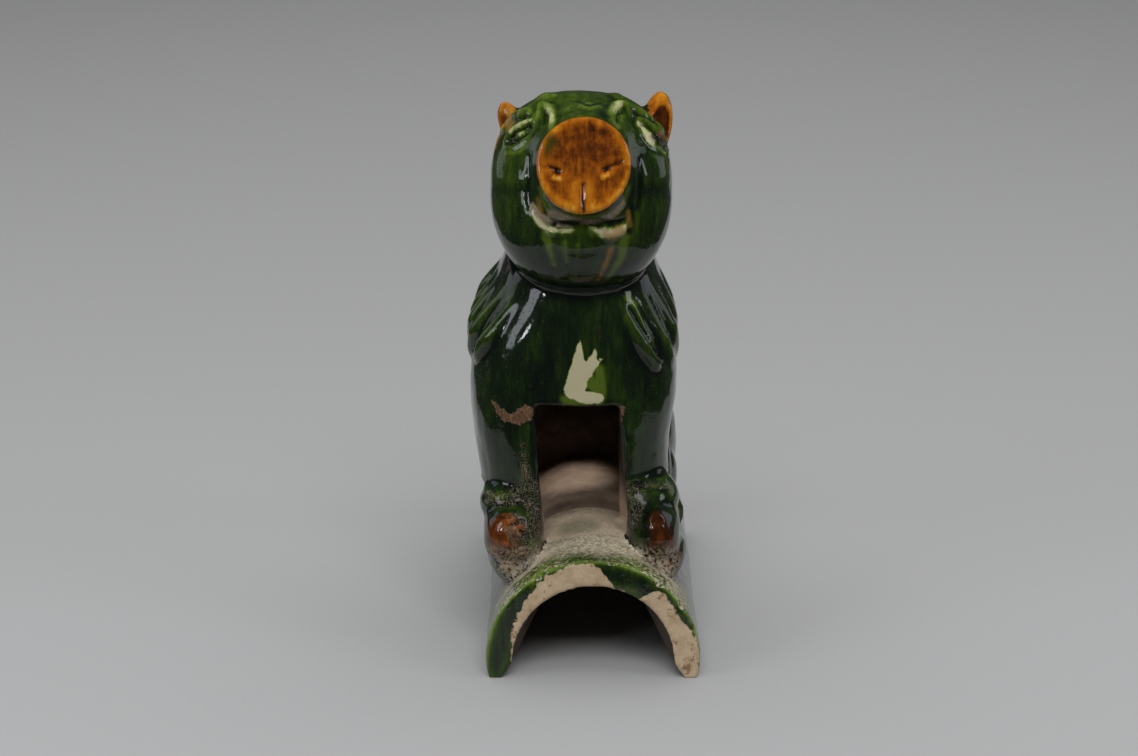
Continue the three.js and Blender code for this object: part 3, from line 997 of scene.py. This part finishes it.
thickness += glaze["flank"] * flank + onTile * tileExtra
amberDeep = glaze["disc"] + glaze["discRight"] * ramped(right, 12, 20)
amberDeep += glaze["discFoot"] * ramped(-up, -8, 4) * np.clip(right / 12 + 0.5, 0.35, 1)
amberDeep = np.where(onDisc > -2, amberDeep, glaze["ears"])
thickness = np.where(fields["amber"] > -1.5, amberDeep, thickness)
hoofDeep = np.where(coX > 0, glaze["rightHoof"], glaze["leftHoof"])
thickness = np.where((coZ < 100) & (fields["amber"] > -4), hoofDeep, thickness)
besideGap = (coZ < gaps["legTop"]) & (coZ > 74) & (coY < -60) & (np.abs(coX + 8) < 28)
pooled = np.where(besideGap, np.maximum(pooled, 0.1), pooled)
thickness += np.clip(pooled * glaze["pooling"], -0.2, 0.25)
thickness += glaze["tileEnd"] * (coY < 1 - tile["length"] / 2) * ramped(-offTile, 0.8, 2.3)
fields["thickness"] = thickness
for name, values in fields.items():
    layer = beast.data.attributes.new(name, "FLOAT", "POINT")
    layer.data.foreach_set("value", values.astype(np.float32))
print("patches", len(fields))

cornerLow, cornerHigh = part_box("ridge_beast")
middleX, middleY = cornerHigh[0] - tile["halfWidth"] * mm, (cornerLow[1] + cornerHigh[1]) / 2
tileMiddle = Vector((middleX, middleY, cornerLow[2]))
beast.data.transform(Matrix.Translation(tileMiddle) @ Matrix.Scale(mm, 4))
beast.data.polygons.foreach_set("use_smooth", [True] * len(beast.data.polygons))


class Wire:
    def __init__(self, tree, socket=None):
        self.tree, self.socket = tree, socket

    def node(self, kind, settings=None, inputs=None, output=0):
        made = self.tree.nodes.new("ShaderNode" + kind)
        for name, value in (settings or {}).items():
            if name == "stops":
                ramp = made.color_ramp.elements
                while len(ramp) < len(value):
                    ramp.new(1)
                for element, (position, colour) in zip(ramp, value):
                    element.position, element.color = position, (*colour, 1)
            else:
                setattr(made, name, value)
        for name, value in (inputs or {}).items():
            if isinstance(value, Wire):
                self.tree.links.new(value.socket, made.inputs[name])
            else:
                made.inputs[name].default_value = value
        return Wire(self.tree, made.outputs[output])

    def other(self, output):
        return Wire(self.tree, self.socket.node.outputs[output])

    def maths(self, operation, first, second=0.0):
        return self.node("Math", {"operation": operation}, {0: first, 1: second})

    def __add__(self, other):
        return self.maths("ADD", self, other)

    def __sub__(self, other):
        return self.maths("SUBTRACT", self, other)

    def __rsub__(self, other):
        return self.maths("SUBTRACT", other, self)

    def __mul__(self, other):
        return self.maths("MULTIPLY", self, other)

    def __truediv__(self, other):
        return self.maths("DIVIDE", self, other)

    __radd__ = __add__
    __rmul__ = __mul__

    def larger(self, other):
        return self.maths("MAXIMUM", self, other)

    def smooth(self, low, high):
        settings = {"interpolation_type": "SMOOTHSTEP"}
        return self.node("MapRange", settings, {0: self, 1: low, 2: high, 3: 0.0, 4: 1.0})

    def ramp(self, stops):
        return self.node("ValToRGB", {"stops": stops}, {0: self})

    def blend(self, start, end):
        return self.node("Mix", {"data_type": "RGBA"}, {0: self, 6: start, 7: end}, output=2)


glazeColours = {
    "green": [
        (0.0, (0.46, 0.42, 0.27)), (0.13, (0.28, 0.31, 0.12)), (0.3, (0.088, 0.135, 0.016)),
        (0.48, (0.038, 0.066, 0.005)), (0.66, (0.016, 0.032, 0.004)), (0.84, (0.006, 0.013, 0.004)),
        (1.0, (0.003, 0.006, 0.003)),
    ],
    "amber": [
        (0.0, (0.60, 0.42, 0.16)), (0.16, (0.56, 0.29, 0.04)), (0.36, (0.46, 0.165, 0.008)),
        (0.58, (0.29, 0.078, 0.003)), (0.8, (0.11, 0.026, 0.003)), (1.0, (0.03, 0.009, 0.002)),
    ],
    "clay": [
        (0.2, (0.21, 0.14, 0.085)), (0.42, (0.42, 0.305, 0.19)), (0.6, (0.52, 0.40, 0.265)),
        (0.85, (0.60, 0.50, 0.37)),
    ],
    "insideClay": [(0.25, (0.17, 0.11, 0.075)), (0.5, (0.36, 0.25, 0.175)), (0.8, (0.47, 0.35, 0.26))],
    "rust": [(0.3, (0.03, 0.016, 0.009)), (0.5, (0.105, 0.055, 0.026)), (0.72, (0.25, 0.155, 0.09))],
    "flesh": [(0.3, (0.13, 0.08, 0.05)), (0.52, (0.33, 0.26, 0.17)), (0.8, (0.48, 0.42, 0.30))],
    "dust": [(0.25, (0.26, 0.205, 0.14)), (0.6, (0.56, 0.48, 0.35)), (0.85, (0.66, 0.59, 0.47))],
}
# single colours laid over those
washes = {
    "honey": (0.27, 0.145, 0.022),
    "discStain": (0.030, 0.034, 0.004),
    # near black for pooled glaze and for painted shade in creases and holes
    "dark": (0.012, 0.010, 0.008),
    # thin glaze on the end's outer rim, also a painted highlight along it
    "thinRimAndHighlight": (0.10, 0.17, 0.03),
    "clayStain": (0.17, 0.075, 0.03),
    "shadedClay": (0.05, 0.035, 0.025),
    "innerShade": (0.035, 0.023, 0.016),
    "scratch": (0.34, 0.26, 0.18),
    "moss": (0.085, 0.105, 0.055),
}
glazeFinish = {"roughness": 0.08, "clayRoughness": 0.86, "ior": 1.48}

# how much of the tile's end is glazed, from the outer rim inwards, round from the right foot to the left
endCover = [
    (0.0, 0.03), (0.06, 0.05), (0.13, 0.26), (0.2, 0.34), (0.25, 0.16), (0.29, 0.42), (0.31, 1.0),
    (0.415, 1.0), (0.45, 0.62), (0.485, 0.2), (0.56, 0.1), (0.64, 0.16), (0.71, 0.38), (0.78, 0.6),
    (0.87, 0.74), (0.94, 0.92), (1.0, 1.0),
]


def leadGlaze():
    material = bpy.data.materials.new("leadGlaze")
    material.use_nodes = True
    shader = material.node_tree.nodes["Principled BSDF"]
    start = Wire(material.node_tree)
    place = start.node("TexCoord", output=3)
    place = start.node("VectorMath", {"operation": "SUBTRACT"}, {0: place, 1: tuple(tileMiddle)})
    local = start.node("VectorMath", {"operation": "SCALE"}, {0: place, "Scale": 1 / mm})
    x = start.node("SeparateXYZ", {}, {0: local})
    y, z = x.other(1), x.other(2)

    def field(name):
        return start.node("Attribute", {"attribute_name": name}, output=2)

    def wash(name):
        return (*washes[name], 1)

    def grain(scale, detail=3.0, stretch=(1, 1, 1), shift=0.0, rough=0.55):
        spread = start.node("VectorMath", {"operation": "MULTIPLY"}, {0: local, 1: stretch})
        moved = start.node("VectorMath", {"operation": "ADD"}, {0: spread, 1: (shift, shift, shift)})
        settings = {"Vector": moved, "Scale": scale, "Detail": detail, "Roughness": rough}
        return start.node("TexNoise", {}, settings)

    streaks = grain(0.16, 4, (1, 1, 0.2)) - 0.5
    fineStreaks = grain(0.55, 2, (1, 1, 0.16), 31) - 0.5
    clouds = grain(0.035, 4, (1, 1, 0.6), 57) - 0.5
    specks = grain(0.9, 3, shift=11)
    grit = specks - 0.5
    tiny = grain(2.2, 2, shift=73)
    edge = grit * 1.6 + clouds * 3 + (grain(0.3, 3, shift=5) - 0.5) * 3

    thickness = field("thickness")
    thickness = thickness + streaks * 0.62 + fineStreaks * 0.3 + clouds * 0.5
    thickness = thickness + grit * 0.16
    # cream glaze, with painted highlights on the inner brows and the nostril rims
    creamAndHighlightSoft = (z - 230).smooth(0, 20)
    creamAndHighlightField = field("cream") + edge * (0.75 + creamAndHighlightSoft * 0.35)
    creamAndHighlightMask = creamAndHighlightField.smooth(-0.6 - creamAndHighlightSoft * 0.9, 0.5 + creamAndHighlightSoft * 0.8)
    # pale thin glaze, with painted highlights on the brows, the right cheek's edge and the wing rib
    paleAndHighlightMask = (field("pale") + edge * 0.8).smooth(-2.0, 1.6) * 0.72
    # pooled glaze, and painted shade in the mouth, nostrils, eye grooves, ear cup and hoof chip
    darkPoolAndShadeMask = (field("dark") + grit * 0.8).smooth(-0.7, 0.7)
    thickness = thickness * (1 - paleAndHighlightMask) + paleAndHighlightMask * 0.2
    thickness = thickness * (1 - creamAndHighlightMask) + creamAndHighlightMask * (grit * 0.12)
    green = thickness.ramp(glazeColours["green"])
    amberThick = field("thickness") + streaks * 0.6 + clouds * 0.6 + grit * 0.2
    amberThick = amberThick + (grain(0.2, 4, shift=77) - 0.5) * 0.5 + fineStreaks * 0.3
    amber = (amberThick * (1 - creamAndHighlightMask * 0.8)).ramp(glazeColours["amber"])
    onHoof = (100 - z).smooth(0, 8)
    amberField = field("amber") + edge * (0.35 + onHoof * 1.2)
    amberMask = amberField.smooth(-0.8 - onHoof * 1.6, 0.9 + onHoof * 0.6)
    colour = amberMask.blend(green, amber)
    honeyMask = (field("honey") + edge * 0.8).smooth(-1.6, 1.4)
    colour = (honeyMask * 0.62).blend(colour, wash("honey"))
    fleshMask = (field("flesh") + edge * 0.7).smooth(-1.4, 1.0)
    colour = (fleshMask * 0.9).blend(colour, (specks * 0.6 + tiny * 0.4).ramp(glazeColours["flesh"]))
    stainMask = (field("stain") + edge * 0.7).smooth(-2.4, 2.0)
    colour = (stainMask * 0.86).blend(colour, wash("discStain"))
    colour = (darkPoolAndShadeMask * 0.9).blend(colour, wash("dark"))

    # the tile's two ends, glazed in patches from the rim inwards
    springing = tile["rise"] - tile["halfWidth"]
    high = (z - springing).larger(0.01)
    turned = start.maths("ARCTAN2", high, x) / math.pi
    radius = start.maths("SQRT", x * x + high * high)
    inward = (tile["halfWidth"] - radius) / tile["wall"]
    cover = turned.ramp([(position, (value, value, value)) for position, value in endCover])
    endGlaze = cover - inward + (grain(0.22, 3, shift=19) - 0.5) * 0.5 + grit * 0.1
    endGlaze = endGlaze.smooth(-0.03, 0.05)
    atEnd = start.maths("ABSOLUTE", y).smooth(tile["length"] / 2 - 1.3, tile["length"] / 2 - 0.7)
    # a lighter green line along the end's outer rim: thin glaze on the arris, and a painted highlight
    # along the rim
    thinRimAndHighlightLine = atEnd * (0.09 - inward + grit * 0.16).smooth(-0.02, 0.03)
    colour = (thinRimAndHighlightLine * 0.5).blend(colour, wash("thinRimAndHighlight"))
    bareMask = (field("bare") + edge * 0.5).smooth(-0.5, 0.6).larger(atEnd * (1 - endGlaze))

    clayTone = grain(0.12, 5, shift=41, rough=0.65) * 0.7 + tiny * 0.3
    clay = clayTone.ramp(glazeColours["clay"])
    stain = (grain(0.16, 4, (1, 1, 0.8), 91) + grit * 0.5).smooth(0.56, 0.68)
    clay = (stain * 0.75).blend(clay, wash("clayStain"))
    insideClay = (clayTone + clouds * 0.6).ramp(glazeColours["insideClay"])
    # a painted shadow band across the inside clay behind the front legs, where the body shades the
    # tile's crown
    shaded = (y + 44).smooth(0, 14) * (0 - y - 6).smooth(0, 16) * 0.55
    insideClay = shaded.blend(insideClay, wash("shadedClay"))
    # painted shade: the inside clay is darkened high in the hollow body and inside the tunnel, where
    # little light reaches
    innerShadeMask = z.smooth(74, 100).larger((50 - radius).smooth(0, 3))
    insideClay = (innerShadeMask * 0.88).blend(insideClay, wash("innerShade"))
    clay = atEnd.blend(insideClay, clay)
    colour = bareMask.blend(colour, clay)

    rustMask = field("rust") + (grain(0.35, 4, (1, 1, 1), 23) - 0.5) * 7 + grit * 3
    rustMask = rustMask.smooth(-0.2, 0.5)
    colour = rustMask.blend(colour, (specks * 0.7 + tiny * 0.3).ramp(glazeColours["rust"]))
    # hair-like scratches in three directions
    slanted = start.node("CombineXYZ", {}, {0: (x + z) * 0.5, 1: y * 0.5, 2: (x - z) * 2.6})
    steep = start.node("CombineXYZ", {}, {0: x * 3.2, 1: y * 0.6, 2: z * 0.5})
    flat = start.node("CombineXYZ", {}, {0: x * 0.4, 1: y * 0.6, 2: z * 3.4})
    scratches = [
        start.node("TexNoise", {}, {"Vector": vector, "Scale": scale, "Detail": 2.0}).smooth(0.59, 0.68)
        for vector, scale in ((slanted, 1.1), (steep, 0.9), (flat, 0.8))
    ]
    hairs = scratches[0].larger(scratches[1]).larger(scratches[2]) * (0.8 + clouds)
    scuffMask = (field("scuff") + edge * 0.6).smooth(-2.5, 2.5)
    scuffMask = scuffMask * hairs.larger(specks.smooth(0.6, 0.7) * 0.7)
    colour = (scuffMask * 0.7).blend(colour, wash("scratch"))
    dustMask = (field("dust") + edge * 1.5).smooth(-3.5, 3.0)
    tongue = (grain(0.5, 4, shift=67) + clouds * 0.6).smooth(0.42, 0.6)
    nearFront = (0 - y - 80).smooth(0, 26) * (72 - z).smooth(0, 8) * (z - 30).smooth(0, 14)
    dustMask = dustMask.larger(nearFront * tongue * 0.8) * (0.55 + 0.45 * tongue)
    dustMask = dustMask * (1 - atEnd)
    colour = dustMask.blend(colour, (specks * 0.6 + tiny * 0.4).ramp(glazeColours["dust"]))
    across, back = (x + 8) / 16, (y + 64) / 17
    mossy = (1 - across * across - back * back).smooth(0.0, 0.9) * (74 - z).smooth(0, 2)
    colour = (mossy * (0.3 + tongue * 0.4)).blend(colour, wash("moss"))

    worn = bareMask.larger(rustMask).larger(scuffMask * 0.8).larger(dustMask * 0.9)
    smear = grain(0.06, 3, shift=29).smooth(0.5, 0.75)
    roughness = glazeFinish["roughness"] + smear * 0.05
    roughness = roughness * (1 - worn) + worn * glazeFinish["clayRoughness"]

    ripple = grain(0.11, 2, shift=83) * 0.5 + grain(0.4, 2, shift=47) * 0.10
    pits = (0.34 - grain(0.8, 1, shift=61)).smooth(0.0, 0.07) * 0.18
    relief = ripple - pits + worn * (specks * 0.55 + tiny * 0.2 - 0.5)
    bumped = start.node("Bump", {}, {"Strength": 0.55, "Distance": 0.0007, "Height": relief})

    links = material.node_tree.links
    links.new(colour.socket, shader.inputs["Base Color"])
    links.new(roughness.socket, shader.inputs["Roughness"])
    links.new(bumped.socket, shader.inputs["Normal"])
    shader.inputs["IOR"].default_value = glazeFinish["ior"]
    return material


beast.data.materials.clear()
beast.data.materials.append(leadGlaze())
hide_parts("ridge_beast")
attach(beast, "root")

# the studio: a table that narrows and stops short in front, soft boxes at both sides, light from above
studio = {
    "tableFront": -0.27,
    "tableBack": 2.75,
    "halfFront": 0.299,
    "halfBack": 0.907,
    "middle": -0.0075,
    "thick": 0.02,
    "tableColour": (0.36, 0.36, 0.36, 1),
    "room": 0.045,
}
floorForm = bmesh.new()
floorMiddle = (studio["tableFront"] + studio["tableBack"]) / 2
place = Matrix.Translation((studio["middle"], floorMiddle, -studio["thick"] / 2))
size = Matrix.Diagonal((2, studio["tableBack"] - studio["tableFront"], studio["thick"], 1))
bmesh.ops.create_cube(floorForm, size=1, matrix=place @ size)
for vert in floorForm.verts:
    half = studio["halfBack"] if vert.co.y > floorMiddle else studio["halfFront"]
    vert.co.x = studio["middle"] + math.copysign(half, vert.co.x)
floor = meshed(floorForm, "floor")
paper = bpy.data.materials.new("paper")
paper.use_nodes = True
surface = paper.node_tree.nodes["Principled BSDF"].inputs
surface["Base Color"].default_value = studio["tableColour"]
surface["Roughness"].default_value = 0.95
surface["Specular IOR Level"].default_value = 0.1
floor.data.materials.append(paper)


def softbox(name, place, aim, size, power, colour=(1, 1, 1), mirrored=True):
    data = bpy.data.lights.new(name, "AREA")
    data.shape = "RECTANGLE"
    data.size, data.size_y = size
    data.energy = power
    data.color = colour
    made = bpy.data.objects.new(name, data)
    made.location = place
    made.rotation_euler = (Vector(aim) - Vector(place)).to_track_quat("-Z", "Y").to_euler()
    made.visible_glossy = mirrored
    bpy.context.collection.objects.link(made)


cool = (0.95, 0.98, 1.05)
softbox("leftBox", (-1.15, -0.72, 0.62), (0, 0, 0.17), (0.42, 0.75), 3.6, cool)
softbox("rightBox", (1.2, -0.55, 0.8), (0, 0, 0.17), (0.4, 0.7), 2.8, cool)
softbox("lowBox", (-0.95, -1.15, 0.47), (0, 0, 0.2), (0.14, 0.14), 1.2, cool)
softbox("leftScreen", (-1.5, 0.75, 0.6), (0, 0, 0.15), (0.8, 1.0), 1.5, cool)
softbox("rightScreen", (1.5, 0.75, 0.6), (0, 0, 0.15), (0.8, 1.0), 1.5, cool)
softbox("topBox", (0, 1.3, 2.6), (0, 1.3, 0), (4.5, 4.5), 85, mirrored=False)
softbox("frontBox", (0.1, -1.6, 1.9), (0, 0, 0.15), (1.6, 1.0), 37, mirrored=False)

# the little light that falls through the side gaps onto the tile's crown
glow = bpy.data.lights.new("crownGlow", "SPOT")
glow.energy, glow.spot_size, glow.spot_blend, glow.shadow_soft_size = 0.42, math.radians(34), 1, 0.006
glowAt = bpy.data.objects.new("crownGlow", glow)
glowAt.location = tileMiddle + Vector((-14, 30, 178)) * mm
glowAt.visible_glossy = False
bpy.context.collection.objects.link(glowAt)

world = bpy.data.worlds.new("room")
world.use_nodes = True
backdrop = world.node_tree.nodes["Background"].inputs
backdrop["Color"].default_value = (0.96, 0.98, 1.04, 1)
backdrop["Strength"].default_value = studio["room"]
bpy.context.scene.world = world
bpy.context.scene.view_settings.view_transform = "Standard"

lens = {"long": 36 * 2720 / 1138, "down": 16, "place": (-13.6, -1555.5, 586.5)}
view = bpy.data.cameras.new("view")
view.sensor_width = 36
view.lens = lens["long"]
camera = bpy.data.objects.new("camera", view)
camera.location = tileMiddle + Vector(lens["place"]) * mm
camera.rotation_euler = (math.radians(90 - lens["down"]), 0, 0)
bpy.context.collection.objects.link(camera)
bpy.context.scene.camera = camera
